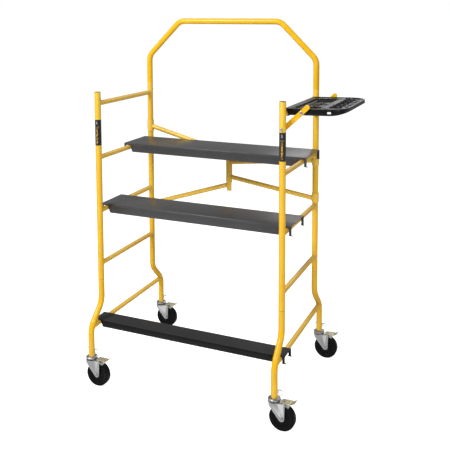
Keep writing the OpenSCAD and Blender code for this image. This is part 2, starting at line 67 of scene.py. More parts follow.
LABEL_T = 0.33 * MM
POST_WALL = 1.5 * MM
LEFT_X = middle("left_wrap_label").x
RIGHT_X = middle("right_wrap_label").x
FRONT_Y = middle("left_wrap_label").y
REAR_Y = middle("left_brace_sleeves").y
POST_R = size("left_wrap_label").x / 2 - LABEL_T
RUNG_R = size("left_rungs").x / 2
SLEEVE_R = size("left_brace_sleeves").x / 2
HINGE_R = size("hinge_tube").x / 2
BARREL_R = size("hinge_barrel").x / 2
TOP_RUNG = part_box("left_rungs")[1].z - RUNG_R
FOOT_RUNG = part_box("left_rungs")[0].z + RUNG_R
RUNG_PITCH = 284 * MM
WHEEL_R = size("front_left_caster_wheel").z / 2
CENTRE_X = (LEFT_X + RIGHT_X) / 2
POST_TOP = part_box("front_left_post")[1].z
POST_BORE = POST_R - POST_WALL


# ---------------------------------------------------------------- material nodes


class Nodes:
    """A short way to write a material's node tree."""

    def __init__(self, name):
        self.material = bpy.data.materials.new(name)
        self.material.use_nodes = True
        self.tree = self.material.node_tree
        self.tree.nodes.clear()
        self.out = self.tree.nodes.new("ShaderNodeOutputMaterial")
        self.shader = self.tree.nodes.new("ShaderNodeBsdfPrincipled")
        self.tree.links.new(self.shader.outputs[0], self.out.inputs[0])
        self.place = self.tree.nodes.new("ShaderNodeTexCoord").outputs["Object"]

    def put(self, socket, value):
        """A socket takes another node's output, a colour or a number."""
        if isinstance(value, bpy.types.NodeSocket):
            self.tree.links.new(value, socket)
        elif isinstance(value, (tuple, list)) and len(value) == 3 and socket.type == "RGBA":
            socket.default_value = (*value, 1)
        else:
            socket.default_value = value

    def set(self, **values):
        for key, value in values.items():
            self.put(self.shader.inputs[key.replace("_", " ")], value)

    def noise(self, scale, detail=3.0, rough=0.55, stretch=(1, 1, 1)):
        mapping = self.tree.nodes.new("ShaderNodeMapping")
        mapping.inputs["Scale"].default_value = stretch
        self.put(mapping.inputs["Vector"], self.place)
        node = self.tree.nodes.new("ShaderNodeTexNoise")
        self.put(node.inputs["Vector"], mapping.outputs[0])
        node.inputs["Scale"].default_value = scale
        node.inputs["Detail"].default_value = detail
        node.inputs["Roughness"].default_value = rough
        return node.outputs["Fac"]

    def cells(self, scale):
        node = self.tree.nodes.new("ShaderNodeTexVoronoi")
        self.put(node.inputs["Vector"], self.place)
        node.inputs["Scale"].default_value = scale
        return node.outputs["Distance"]

    def span(self, value, low, high, to_low=0.0, to_high=1.0):
        node = self.tree.nodes.new("ShaderNodeMapRange")
        self.put(node.inputs["Value"], value)
        ends = {"From Min": low, "From Max": high, "To Min": to_low, "To Max": to_high}
        for key, number in ends.items():
            node.inputs[key].default_value = number
        return node.outputs[0]

    def math(self, operation, a, b=0.0):
        node = self.tree.nodes.new("ShaderNodeMath")
        node.operation = operation
        self.put(node.inputs[0], a)
        self.put(node.inputs[1], b)
        return node.outputs[0]

    def mix(self, factor, a, b):
        node = self.tree.nodes.new("ShaderNodeMix")
        node.data_type = "RGBA"
        self.put(node.inputs["Factor"], factor)
        self.put(node.inputs["A"], a)
        self.put(node.inputs["B"], b)
        return node.outputs["Result"]

    def axis(self, name):
        node = self.tree.nodes.new("ShaderNodeSeparateXYZ")
        self.put(node.inputs[0], self.place)
        return node.outputs[name]

    def edge(self, low=0.52, high=0.6):
        """1 on convex edges, 0 elsewhere."""
        geometry = self.tree.nodes.new("ShaderNodeNewGeometry")
        return self.span(geometry.outputs["Pointiness"], low, high)

    def hollow(self, low=0.40, high=0.47):
        """1 in concave corners, 0 elsewhere."""
        geometry = self.tree.nodes.new("ShaderNodeNewGeometry")
        return self.span(geometry.outputs["Pointiness"], high, low)

    def turned_away(self, low=0.25, high=0.95):
        """1 where the surface turns away from the viewer, as on the sides of a tube."""
        node = self.tree.nodes.new("ShaderNodeLayerWeight")
        return self.span(node.outputs["Facing"], low, high)

    def bump(self, height, strength, distance=0.5 * MM):
        node = self.tree.nodes.new("ShaderNodeBump")
        node.inputs["Strength"].default_value = strength
        node.inputs["Distance"].default_value = distance
        self.put(node.inputs["Height"], height)
        self.put(self.shader.inputs["Normal"], node.outputs["Normal"])


def paint_yellow():
    """Glossy powder coat: orange peel, faint mottling, a few handling scuffs, paler worn edges, and painted
    shade on the sides of tubes that turn away from the viewer.
    """
    n = Nodes("yellow_powder_coat")
    mottle = n.span(n.noise(14, 4), 0.35, 0.7)
    scuff = n.span(n.noise(90, 6, 0.7, (1, 1, 0.12)), 0.66, 0.74)
    base = n.mix(mottle, (0.86, 0.47, 0.004), (0.92, 0.51, 0.007))
    base = n.mix(n.math("MULTIPLY", scuff, 0.35), base, (0.60, 0.33, 0.03))
    base = n.mix(n.math("MULTIPLY", n.edge(), 0.5), base, (1.0, 0.72, 0.16))
    # Painted shade: the colour darkens where the surface turns away from the viewer, like the shaded sides of
    # a tube.
    base = n.mix(n.math("MULTIPLY", n.turned_away(), 0.85), base, (0.52, 0.27, 0.002))
    n.set(Base_Color=base, Roughness=n.span(scuff, 0, 1, 0.30, 0.48), Coat_Weight=0.12, Coat_Roughness=0.12)
    n.set(Specular_IOR_Level=0.24)
    n.bump(n.noise(650, 2), 0.10)
    return n.material


def satin_black(name, low, high, rough, shine):
    """Satin powder coat on sheet steel: fine grain, soft smudges, rubbed scratches along the deck."""
    n = Nodes(name)
    smudge = n.span(n.noise(6, 5, 0.6), 0.35, 0.7)
    rub = n.span(n.noise(120, 5, 0.75, (0.05, 1, 1)), 0.66, 0.73)
    base = n.mix(smudge, low, high)
    base = n.mix(n.math("MULTIPLY", rub, 0.30), base, (0.09, 0.09, 0.093))
    base = n.mix(n.math("MULTIPLY", n.edge(), 0.5), base, (0.12, 0.12, 0.125))
    n.set(Base_Color=base, Roughness=n.span(smudge, 0, 1, rough - 0.04, rough + 0.07))
    n.set(Specular_IOR_Level=shine)
    n.bump(n.noise(1300, 2), 0.16, 0.2 * MM)
    return n.material


def moulded_black():
    """Injection-moulded tray: a spark-eroded grain, dull grey where tools have rubbed it."""
    n = Nodes("black_moulded_plastic")
    cloud = n.span(n.noise(9, 4), 0.3, 0.7)
    rub = n.span(n.noise(60, 6, 0.7, (0.5, 1.4, 1)), 0.62, 0.74)
    base = n.mix(cloud, (0.003, 0.003, 0.004), (0.007, 0.007, 0.008))
    base = n.mix(n.math("MULTIPLY", rub, 0.2), base, (0.030, 0.030, 0.031))
    base = n.mix(n.math("MULTIPLY", n.edge(), 0.5), base, (0.050, 0.050, 0.052))
    n.set(Base_Color=base, Roughness=n.span(cloud, 0, 1, 0.28, 0.38), Specular_IOR_Level=0.18)
    n.bump(n.cells(900), 0.12, 0.2 * MM)
    return n.material


def zinc(name, dark, light, rough):
    """Zinc plate: soft spangle, faint drawing lines, and painted shade darkening the hollows."""
    n = Nodes(name)
    spangle = n.span(n.cells(420), 0.05, 0.6)
    cloud = n.span(n.noise(18, 3), 0.3, 0.7)
    lines = n.noise(500, 3, 0.6, (1, 1, 0.08))
    base = n.mix(n.math("MULTIPLY", n.math("ADD", spangle, cloud), 0.5), dark, light)
    base = n.mix(n.math("MULTIPLY", n.edge(), 0.7), base, (0.86, 0.86, 0.85))
    # Painted shade: concave corners are darkened towards dark grey.
    base = n.mix(n.math("MULTIPLY", n.hollow(), 0.6), base, (0.12, 0.12, 0.12))
    n.set(Base_Color=base, Metallic=0.85, Roughness=n.span(cloud, 0, 1, rough, rough + 0.10))
    n.bump(lines, 0.12, 0.2 * MM)
    return n.material


def pedal_plate():
    """Yellow-passivated zinc with olive and straw clouds, wear on the raised ribs and painted shade in the
    grooves.
    """
    n = Nodes("yellow_passivate")
    cloud = n.span(n.noise(70, 5, 0.6), 0.35, 0.65)
    stain = n.span(n.noise(25, 4), 0.4, 0.7)
    base = n.mix(cloud, (0.50, 0.45, 0.25), (0.74, 0.69, 0.50))
    base = n.mix(n.math("MULTIPLY", stain, 0.4), base, (0.42, 0.30, 0.16))
    # Painted shade: the grooves and concave corners are darkened towards near black.
    base = n.mix(n.math("MULTIPLY", n.hollow(), 0.85), base, (0.10, 0.085, 0.05))
    base = n.mix(n.math("MULTIPLY", n.edge(), 0.7), base, (0.86, 0.84, 0.74))
    n.set(Base_Color=base, Metallic=0.75, Roughness=n.span(cloud, 0, 1, 0.32, 0.46))
    n.bump(n.noise(700, 3), 0.12, 0.2 * MM)
    return n.material


def hard_rubber():
    """Hard rubber wheel: fine pores, dusty where it has rolled."""
    n = Nodes("hard_black_rubber")
    dust = n.span(n.noise(40, 6, 0.7), 0.45, 0.75)
    base = n.mix(n.math("MULTIPLY", dust, 0.4), (0.002, 0.002, 0.002), (0.010, 0.009, 0.009))
    base = n.mix(n.math("MULTIPLY", n.edge(), 0.4), base, (0.040, 0.040, 0.040))
    n.set(Base_Color=base, Roughness=n.span(dust, 0, 1, 0.36, 0.55), Specular_IOR_Level=0.10)
    n.bump(n.noise(1500, 3), 0.15, 0.2 * MM)
    return n.material


def greased_steel():
    """Bearing balls under a patchy film of grease."""
    n = Nodes("greased_bearing_steel")
    film = n.span(n.noise(120, 4), 0.35, 0.65)
    n.set(Base_Color=n.mix(film, (0.10, 0.09, 0.075), (0.45, 0.45, 0.44)), Metallic=1.0)
    n.set(Roughness=n.span(film, 0, 1, 0.42, 0.2))
    n.bump(n.noise(900, 2), 0.08, 0.1 * MM)
    return n.material


def label_film(name, post_x):
    """Vinyl wrap: a black ground, a ragged yellow stripe down its front and plain white ticks at the top."""
    n = Nodes(name)
    low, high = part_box(name)
    across = n.math("DIVIDE", n.math("SUBTRACT", n.axis("X"), post_x), POST_R)
    up = n.span(n.axis("Z"), low.z, high.z)

    def band(value, centre, half, soft=0.02):
        gap = n.math("ABSOLUTE", n.math("SUBTRACT", value, centre))
        return n.span(gap, half + soft, half - soft)

    step = n.math("FRACT", n.math("MULTIPLY", up, 19.0))
    ragged = n.span(n.noise(260, 2, 0.5, (1, 1, 0.5)), 0.42, 0.50)
    blocks = n.math("MULTIPLY", n.math("MULTIPLY", band(step, 0.5, 0.34, 0.08), ragged), band(up, 0.36, 0.30))
    stripe = n.math("MULTIPLY", blocks, band(across, 0.14, 0.26, 0.05))
    line = n.math("MULTIPLY", band(up, 0.72, 0.006, 0.003), band(across, 0.1, 0.6))
    stripe = n.math("MAXIMUM", stripe, line)
    ticks = n.math("MULTIPLY", band(n.math("FRACT", n.math("MULTIPLY", up, 40.0)), 0.5, 0.22, 0.08),
                   band(up, 0.875, 0.055))
    ticks = n.math("MULTIPLY", ticks, band(across, 0.12, 0.18, 0.04))
    ground = n.mix(n.span(n.noise(30, 4), 0.3, 0.7), (0.004, 0.004, 0.005), (0.009, 0.009, 0.010))
    base = n.mix(stripe, ground, (0.85, 0.46, 0.03))
    base = n.mix(ticks, base, (0.75, 0.75, 0.73))
    n.set(Base_Color=base, Roughness=n.span(n.noise(50, 3), 0.3, 0.7, 0.22, 0.34), Coat_Weight=0.6)
    n.bump(n.noise(500, 2), 0.06, 0.1 * MM)
    return n.material


def bare_steel():
    """The sawn, unpainted end and inside of a tube: dark mill scale with rust-brown freckles."""
    n = Nodes("bare_sawn_steel")
    scale = n.span(n.noise(220, 5, 0.7), 0.35, 0.7)
    rust = n.span(n.noise(90, 4), 0.5, 0.68)
    base = n.mix(scale, (0.030, 0.026, 0.022), (0.075, 0.066, 0.055))
    base = n.mix(n.math("MULTIPLY", rust, 0.5), base, (0.11, 0.055, 0.022))
    n.set(Base_Color=base, Metallic=0.6, Roughness=n.span(scale, 0, 1, 0.45, 0.62))
    n.bump(n.noise(1100, 3), 0.2, 0.2 * MM)
    return n.material


def seam_painted_shade():
    """Darkened powder coat on the joint of two tubes: painted shade standing in for the shade in the seam,
    with a random mottle.
    """
    n = Nodes("seam_shade_paint")
    seam_mottle = n.span(n.noise(160, 4), 0.35, 0.65)
    n.set(Base_Color=n.mix(seam_mottle, (0.30, 0.15, 0.006), (0.52, 0.27, 0.010)))
    n.set(Roughness=n.span(seam_mottle, 0, 1, 0.5, 0.3))
    n.bump(n.noise(800, 2), 0.12, 0.2 * MM)
    return n.material


YELLOW = paint_yellow()
DECK = satin_black("deck_satin_charcoal", (0.030, 0.030, 0.032), (0.042, 0.042, 0.045), 0.33, 0.5)
STEP = satin_black("step_satin_black", (0.004, 0.004, 0.005), (0.009, 0.009, 0.010), 0.48, 0.10)
TRAY = moulded_black()
ZINC = zinc("bright_zinc_plate", (0.28, 0.29, 0.30), (0.42, 0.43, 0.44), 0.30)
SHOE = zinc("white_zinc_shoe", (0.50, 0.51, 0.52), (0.68, 0.69, 0.70), 0.34)
BARE = bare_steel()
# SEAM is painted shade: a darkened yellow for the seam ring where each post meets its leg.
SEAM = seam_painted_shade()
PEDAL = pedal_plate()
RUBBER = hard_rubber()
BEARING = greased_steel()


# ---------------------------------------------------------------- mesh helpers


CREASE = 35


def finish_mesh(mesh, angle):
    """Faces point outwards, smooth shading with creases where faces meet at more than the angle."""
    work = bmesh.new()
    work.from_mesh(mesh)
    bmesh.ops.recalc_face_normals(work, faces=work.faces)
    work.to_mesh(mesh)
    work.free()
    mesh.polygons.foreach_set("use_smooth", [True] * len(mesh.polygons))
    mesh.set_sharp_from_angle(angle=math.radians(angle))
    mesh.update()


def apply_modifiers(piece):
    """Turns a piece's modifiers into plain mesh."""
    bpy.context.view_layer.update()
    done = piece.evaluated_get(bpy.context.evaluated_depsgraph_get())
    piece.data = bpy.data.meshes.new_from_object(done)
    piece.modifiers.clear()


def add_piece(name, verts, faces, body, material, replaces=(), angle=CREASE):
    """A new piece from plain vertices and faces."""
    mesh = bpy.data.meshes.new(name)
    mesh.from_pydata([tuple(v) for v in verts], [], faces)
    mesh.validate()
    piece = bpy.data.objects.new(name, mesh)
    bpy.context.scene.collection.objects.link(piece)
    keep(piece, body, material, replaces, angle)


def round_edges(piece, width, limit=30):
    """Rounds the edges where faces meet at more than a limit in degrees."""
    bevel = piece.modifiers.new("edges", "BEVEL")
    bevel.width = width
    bevel.segments = 2
    bevel.limit_method = "ANGLE"
    bevel.angle_limit = math.radians(limit)
    bevel.use_clamp_overlap = True


def keep(piece, body, material, replaces, angle=CREASE):
    """Finishes a piece, gives it its material and its body, and hides the nodes it stands for."""
    piece.data.materials.clear()
    piece.data.materials.append(material)
    finish_mesh(piece.data, angle)
    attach(piece, body)
    if replaces:
        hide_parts(*replaces)


def soften(node, body, material, width):
    """A copy of a CAD node with its flat faces joined and its edges rounded, shown in its place."""
    mesh = frame["nodes"][node].data.copy()
    work = bmesh.new()
    work.from_mesh(mesh)
    bmesh.ops.remove_doubles(work, verts=work.verts, dist=0.005 * MM)
    bmesh.ops.dissolve_limit(work, angle_limit=math.radians(1), verts=work.verts, edges=work.edges)
    work.to_mesh(mesh)
    work.free()
    piece = bpy.data.objects.new(node + "_skin", mesh)
    bpy.context.scene.collection.objects.link(piece)
    round_edges(piece, width)
    apply_modifiers(piece)
    keep(piece, body, material, (node,))


def merge(parts):
    """One list of verts and one of faces from several."""
    verts = []
    faces = []
    for more, quads in parts:
        faces += [tuple(k + len(verts) for k in quad) for quad in quads]
        verts += more
    return verts, faces


def sweep(points, radii, sides):
    """Verts and faces of a closed tube through a loop of points."""
    count = len(points)
    verts = []
    faces = []
    for i, at in enumerate(points):
        along = (points[(i + 1) % count] - points[i - 1]).normalized()
        side = along.cross(Vector((0.31, 0.17, 0.94))).normalized()
        up = along.cross(side)
        for k in range(sides):
            turn = 2 * math.pi * k / sides
            verts.append(at + radii[i] * (math.cos(turn) * side + math.sin(turn) * up))
    for i in range(count):
        j = (i + 1) % count
        for k in range(sides):
            m = (k + 1) % sides
            faces.append((i * sides + k, i * sides + m, j * sides + m, j * sides + k))
    return verts, faces


def lathe(profile, steps=96):
    """Verts and faces of a closed ring: the (radius, height) profile turned about +Z."""
    verts = []
    faces = []
    count = len(profile)
    for i in range(steps):
        turn = 2 * math.pi * i / steps
        verts += [Vector((r * math.cos(turn), r * math.sin(turn), h)) for r, h in profile]
    for i in range(steps):
        j = (i + 1) % steps
        for k in range(count):
            m = (k + 1) % count
            faces.append((i * count + k, j * count + k, j * count + m, i * count + m))
    return verts, faces


def upright_to_y(at):
    """Places a shape that was turned about +Z so that its axis runs along Y through a point."""
    return Matrix.Translation(at) @ Matrix.Rotation(math.radians(90), 4, "X")


def arc(cx, cy, r, start, end, steps):
    """Points along an arc, from one angle in degrees to another."""
    turns = [math.radians(start + (end - start) * i / steps) for i in range(steps + 1)]
    return [(cx + r * math.cos(t), cy + r * math.sin(t)) for t in turns]


# ---------------------------------------------------------------- weld beads


BEAD_R = 2.3 * MM
BEAD_STEPS = 56
BEAD_SIDES = 8
RIPPLES = 26
SWELLS = 7
# Where the lowest rung meets the flared legs, and how much wider their slope makes the joint
LEG_OUT = 95.2 * MM
LEG_SLOPE = 0.6 * MM


def bead_loop(centre, direction, tube_r, post_r):
    """A rippled bead where a tube going off in a direction meets an upright post at the centre."""
    flat = Vector((direction.x, direction.y, 0))
    slope = flat.length
    flat.normalize()
    side = Vector((-flat.y, flat.x, 0))
    rise = direction.cross(side) * -1
    points = []
    radii = []
    for i in range(BEAD_STEPS):
        turn = 2 * math.pi * i / BEAD_STEPS
        out = math.cos(turn) * tube_r
        up = math.sin(turn) * tube_r
        lean = up * direction.z * (1 if rise.z > 0 else -1)
        reach = (math.sqrt(post_r ** 2 - out ** 2) + lean) / slope
        points.append(centre + direction * reach + side * out + rise * up)
        swell = 0.08 * math.sin(SWELLS * turn + centre.z * 50)
        radii.append(BEAD_R * (1 + 0.16 * math.sin(RIPPLES * turn) + swell))
    return points, radii


def weld_piece(name, joints):
    """One piece holding every bead in a list of (centre, direction, tube radius, post radius)."""
    loops = [bead_loop(centre, direction.normalized(), tube_r, post_r)
             for centre, direction, tube_r, post_r in joints]
    verts, faces = merge(sweep(points, radii, BEAD_SIDES) for points, radii in loops)
    add_piece(name, verts, faces, "frame", YELLOW)


def rung_joints(x):
    """Where the rungs of the ladder at x meet its posts and, at the lowest rung, its legs."""
    joints = []
    for i in range(4):
        z = TOP_RUNG - i * RUNG_PITCH
        joints += [(Vector((x, y, z)), Vector((0, -y, 0)), RUNG_R, POST_R) for y in (FRONT_Y, REAR_Y)]
    for y in (-REAR_Y - LEG_OUT, REAR_Y + LEG_OUT):
        joints.append((Vector((x, y, FOOT_RUNG)), Vector((0, -y, 0)), RUNG_R, POST_R + LEG_SLOPE))
    return joints


LEFT_BARS = ((796, 959), (1265, 1135))
RIGHT_BARS = ((930, 1005), (1140, 1087))


def bar_joints(x, bars, hub_r):
    """Both ends of brace bars given as (height at the post, height at the hinge)."""
    joints = []
    hinge_x = middle("hinge_tube").x
    for at_post, at_hinge in bars:
        a = Vector((x, REAR_Y, at_post * MM))
        b = Vector((hinge_x, REAR_Y, at_hinge * MM))
        joints += [(a, b - a, RUNG_R, SLEEVE_R), (b, a - b, RUNG_R, hub_r)]
    return joints


# ---------------------------------------------------------------- decks

SHEET = 1.8 * MM
SHEET_EDGE = 0.45 * MM
FOLD_R = 3.2 * MM
NOTCH = RUNG_R + 1.2 * MM
LIP = 12 * MM
HOOK_TAB = 21 * MM
TAB_NIP = 4 * MM
FOOT_OUT = 5 * MM
WEB_CUT = 10 * MM
NOTCH_ROUND = 7 * MM
HOOK_ROUND = 3 * MM


def deck_skin(node, body, material, rung_z):
    """A folded sheet: a flat top, two notched webs over the rungs, and a lip or foot under each web."""
    low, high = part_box(node)
    cx = CENTRE_X
    end = cx - low.x
    rung_x = (RIGHT_X - LEFT_X) / 2
    inner = rung_x - NOTCH
    outer = rung_x + NOTCH
    flat = inner - WEB_CUT
    top = high.z
    foot = low.z
    tab = top - HOOK_TAB
    seat = rung_z + RUNG_R + 0.1 * MM
    bend_r = min(FOLD_R, top - seat - 0.25 * MM)
    half = [(-flat, foot + FOLD_R), (-flat - 2 * MM, foot + 8 * MM), (-inner, rung_z + 2 * MM)]
    half += [(-inner, seat - NOTCH_ROUND)]
    half += arc(-inner - NOTCH_ROUND, seat - NOTCH_ROUND, NOTCH_ROUND, 0, 90, 5)[1:]
    half += arc(-outer + HOOK_ROUND, seat - HOOK_ROUND, HOOK_ROUND, 90, 180, 5)
    short = [(-outer, tab + 1.5 * MM), (-outer - 1.5 * MM, tab)]
    short += [(-end + TAB_NIP, tab), (-end, tab + TAB_NIP)]
    leg = [(end, foot + FOLD_R), (outer, foot + FOLD_R)]
    outline = half + short + [(-end, top - bend_r), (end, top - bend_r)] + leg
    outline += [(-x, z) for x, z in reversed(half)]
    verts = []
    faces = []

    def face(points):
        start = len(verts)
        verts.extend(points)
        faces.append(tuple(range(start, start + len(points))))

    def strip(rows):
        for a, b in zip(rows, rows[1:]):
            face([a[0], a[1], b[1], b[0]])

    for y, inward in ((low.y, 1), (high.y, -1)):
        face([Vector((cx + x, y, z)) for x, z in outline])
        fold = arc(bend_r, -bend_r, bend_r, 180, 90, 5)
        strip([[Vector((cx + s * end, y + inward * dy, top + dz)) for s in (-1, 1)] for dy, dz in fold])
        fold = arc(FOLD_R, FOLD_R, FOLD_R, 180, 270, 5)
        for x0, x1, past in ((-flat, flat, 0), (outer, end, FOOT_OUT)):
            strip([[Vector((cx + x, y + inward * dy, foot + dz)) for x in (x0, x1)] for dy, dz in fold])
            near = [(x0, FOLD_R), (x1, FOLD_R)] + ([(x1 + past, FOLD_R)] if past else [])
            face([Vector((cx + x, y + inward * dy, foot)) for x, dy in near + [(x1 + past, LIP), (x0, LIP)]])
    face([Vector((cx + s * end, y, top)) for s, y in
          ((-1, low.y + bend_r), (1, low.y + bend_r), (1, high.y - bend_r), (-1, high.y - bend_r))])
    mesh = bpy.data.meshes.new(node)
    mesh.from_pydata([tuple(v) for v in verts], [], faces)
    work = bmesh.new()
    work.from_mesh(mesh)
    bmesh.ops.remove_doubles(work, verts=work.verts, dist=0.01 * MM)
    bmesh.ops.recalc_face_normals(work, faces=work.faces)
    lids = (f for f in work.faces if abs(f.normal.z) > 0.99 and f.calc_center_median().z > top - SHEET)
    if next(lids).normal.z < 0:
        bmesh.ops.reverse_faces(work, faces=work.faces)
    work.to_mesh(mesh)
    work.free()
    piece = bpy.data.objects.new(node + "_sheet", mesh)
    bpy.context.scene.collection.objects.link(piece)
    shell = piece.modifiers.new("shell", "SOLIDIFY")
    shell.thickness = SHEET
    shell.offset = -1
    shell.use_even_offset = True
    round_edges(piece, SHEET_EDGE, 40)
    apply_modifiers(piece)
    keep(piece, body, material, (node,))


# ---------------------------------------------------------------- tool tray
# The tray is drawn in its own frame in millimetres: origin on the rung's axis, X outwards, Z up.

TRAY_IN = -6.0
TRAY_OUT = 285.0
TRAY_HALF = size("tool_tray").y / 2 / MM
TRAY_TOP = 23.0
TRAY_FOOT = -7.0
SKIRT_LIFT = (215.0, 70.0, 12.8)
TRAY_CORNER = 90.0
TRAY_WALL = 3.0
TRAY_TILT = math.radians(1.5)
TRAY_PLACE = (Matrix.Translation((RIGHT_X, middle("tool_tray").y, TOP_RUNG))
              @ Matrix.Rotation(-TRAY_TILT, 4, "Y") @ Matrix.Scale(MM, 4))
RUNG_SLOT = (14.0, 12.85)
SKIRT_HOLE = ((201.0, 218.0), (2.0, 11.0))
CLIP_IN = 12.85
CLIP_OUT = 17.0
CLIP_HALF = 212
CUP_X = 216
CUPS = [(CUP_X, 70.0 * i) for i in range(-2, 3)]
CUP_R = 26.0
# The well in the top, and the raised floor inside it with its dividing ribs
WELL_X = 88
WELL = (62, 194, 20)
WELL_DEPTH = 18
LEDGE = (50, 182, 14)
LEDGE_RISE = 8.0
RIB_RISE = 5.0
RIB_Y = 62
RIDGE_X = 166
# Pockets: (x, half size along X, half size along Y, corner radius, depth)
CUP_SLOT = (CUP_X, 20, 5.0, 5.0, 13)
END_SLOT = (259, 8, 19, 8, 11)
SIDE_SHELF = (186, 13, 14, 8, 9)
CURVED_SLOT_R = 63
CURVED_SLOT_HALF = 8
CURVED_SLOT_DEPTH = 11
# Steps of the tray's mesh: round each corner, along its outer end, and across it
CORNER_STEPS = 26
END_STEPS = 136
ROW_STEPS = 118


def smooth(value, low, high):
    """0 below low and 1 above high, with a soft step between them."""
    t = min(1.0, max(0.0, (value - low) / (high - low)))
    return t * t * (3 - 2 * t)


def box_distance(x, y, cx, cy, hx, hy, r):
    """How far a point is outside a rounded rectangle; negative inside."""
    dx = abs(x - cx) - hx + r
    dy = abs(y - cy) - hy + r
    return math.hypot(max(dx, 0), max(dy, 0)) + min(max(dx, dy), 0) - r


def dip(distance, depth, draft):
    """A pocket with slightly sloping walls and rounded lips."""
    return -depth * smooth(-distance, -0.6, draft)


def pocket(x, y, shape, cy, draft):
    """A rounded pocket whose middle is at cy along the tray."""
    cx, hx, hy, r, depth = shape
    return dip(box_distance(x, y, cx, cy, hx, hy, r), depth, draft)


def tray_depth(x, y):
    """Height of the tray's top surface below its rim."""
    corner_x = TRAY_OUT - TRAY_CORNER
    corner_y = TRAY_HALF - TRAY_CORNER
    edge = box_distance(x, y, corner_x - 200, 0, 200 + TRAY_CORNER, TRAY_HALF, TRAY_CORNER)
    z = dip(edge + 9, 3.5, 3.0) * smooth(x, 6, 12)
    well = box_distance(x, y, WELL_X, 0, *WELL)
    z = min(z, dip(well, WELL_DEPTH, 5.0))
    ledge = box_distance(x, y, WELL_X, 0, *LEDGE)
    z += LEDGE_RISE * smooth(ledge, -2, 1.5) * smooth(-well, 5, 8)
    for off in (x - WELL_X, y + RIB_Y, y - RIB_Y):
        z += RIB_RISE * smooth(-abs(off), -3.2, -1.4) * smooth(-ledge, 3, 7)
    z += RIB_RISE * smooth(-abs(x - RIDGE_X), -7, -2.0) * smooth(-edge, 9, 16)
    for cx, cy in CUPS:
        ring = math.hypot(x - cx, y - cy) - CUP_R
        z += 4.2 * smooth(-abs(ring - 3.4), -3.4, -0.8)
        z = min(z, dip(ring, 20, 4.0))
    for k in (-3, -1, 1, 3):
        z = min(z, pocket(x, y, CUP_SLOT, 35.0 * k, 2.5))
    for k in range(-2, 3):
        z = min(z, pocket(x, y, END_SLOT, 58.0 * k, 3.0))
    for side in (-1, 1):
        away = math.hypot(x - corner_x, y - side * corner_y)
        turn = math.degrees(math.atan2(abs(y) - corner_y, x - corner_x))
        sweep_in = smooth(turn, 18, 24) * smooth(-turn, -86, -78)
        curve = abs(away - CURVED_SLOT_R) - CURVED_SLOT_HALF
        z = min(z, dip(curve, CURVED_SLOT_DEPTH, 3.0) * sweep_in)
        z = min(z, pocket(x, y, SIDE_SHELF, side * 208, 3.0))
    return z


def tray_edge(inset):
    """Points along the tray's front side, outer end and rear side, drawn in by an inset."""
    half = TRAY_HALF - inset
    r = TRAY_CORNER - inset
    cx = TRAY_OUT - TRAY_CORNER
    cy = TRAY_HALF - TRAY_CORNER
    turns = [math.pi / 2 * i / CORNER_STEPS for i in range(CORNER_STEPS + 1)]
    turns = sorted(turns + [math.asin((mark - cx) / TRAY_CORNER) for mark in SKIRT_HOLE[0]])
    corner = [(cx + r * math.sin(t), -cy - r * math.cos(t)) for t in turns]
    flat = [(TRAY_OUT - inset, -cy + 2 * cy * i / END_STEPS) for i in range(1, END_STEPS)]
    edge = corner + flat + [(x, -y) for x, y in reversed(corner)]
    edge[0] = (cx, -half)
    edge[-1] = (cx, half)
    return edge


def tray_grid(inset):
    """Rows of (x, y) from the ladder's side of the tray out to each point of its edge."""
    span = TRAY_OUT - TRAY_CORNER - TRAY_IN
    marks = [(mark - TRAY_IN) / span for mark in (RUNG_SLOT[0], RUNG_SLOT[0] + 1.2)]
    steps = sorted([i / ROW_STEPS for i in range(ROW_STEPS + 1)] + marks)
    steps = [s for i, s in enumerate(steps) if i == 0 or s - steps[i - 1] > 1e-4]
    start = TRAY_IN + inset
    return [[(start + s * (x - start), y) for s in steps] for x, y in tray_edge(inset)]


def rim(rows):
    """The grid's border in order: front row, outer side, back row, inner side."""
    loop = list(rows[0]) + [row[-1] for row in rows[1:]] + list(reversed(rows[-1][:-1]))
    return loop + [row[0] for row in reversed(rows[1:-1])]


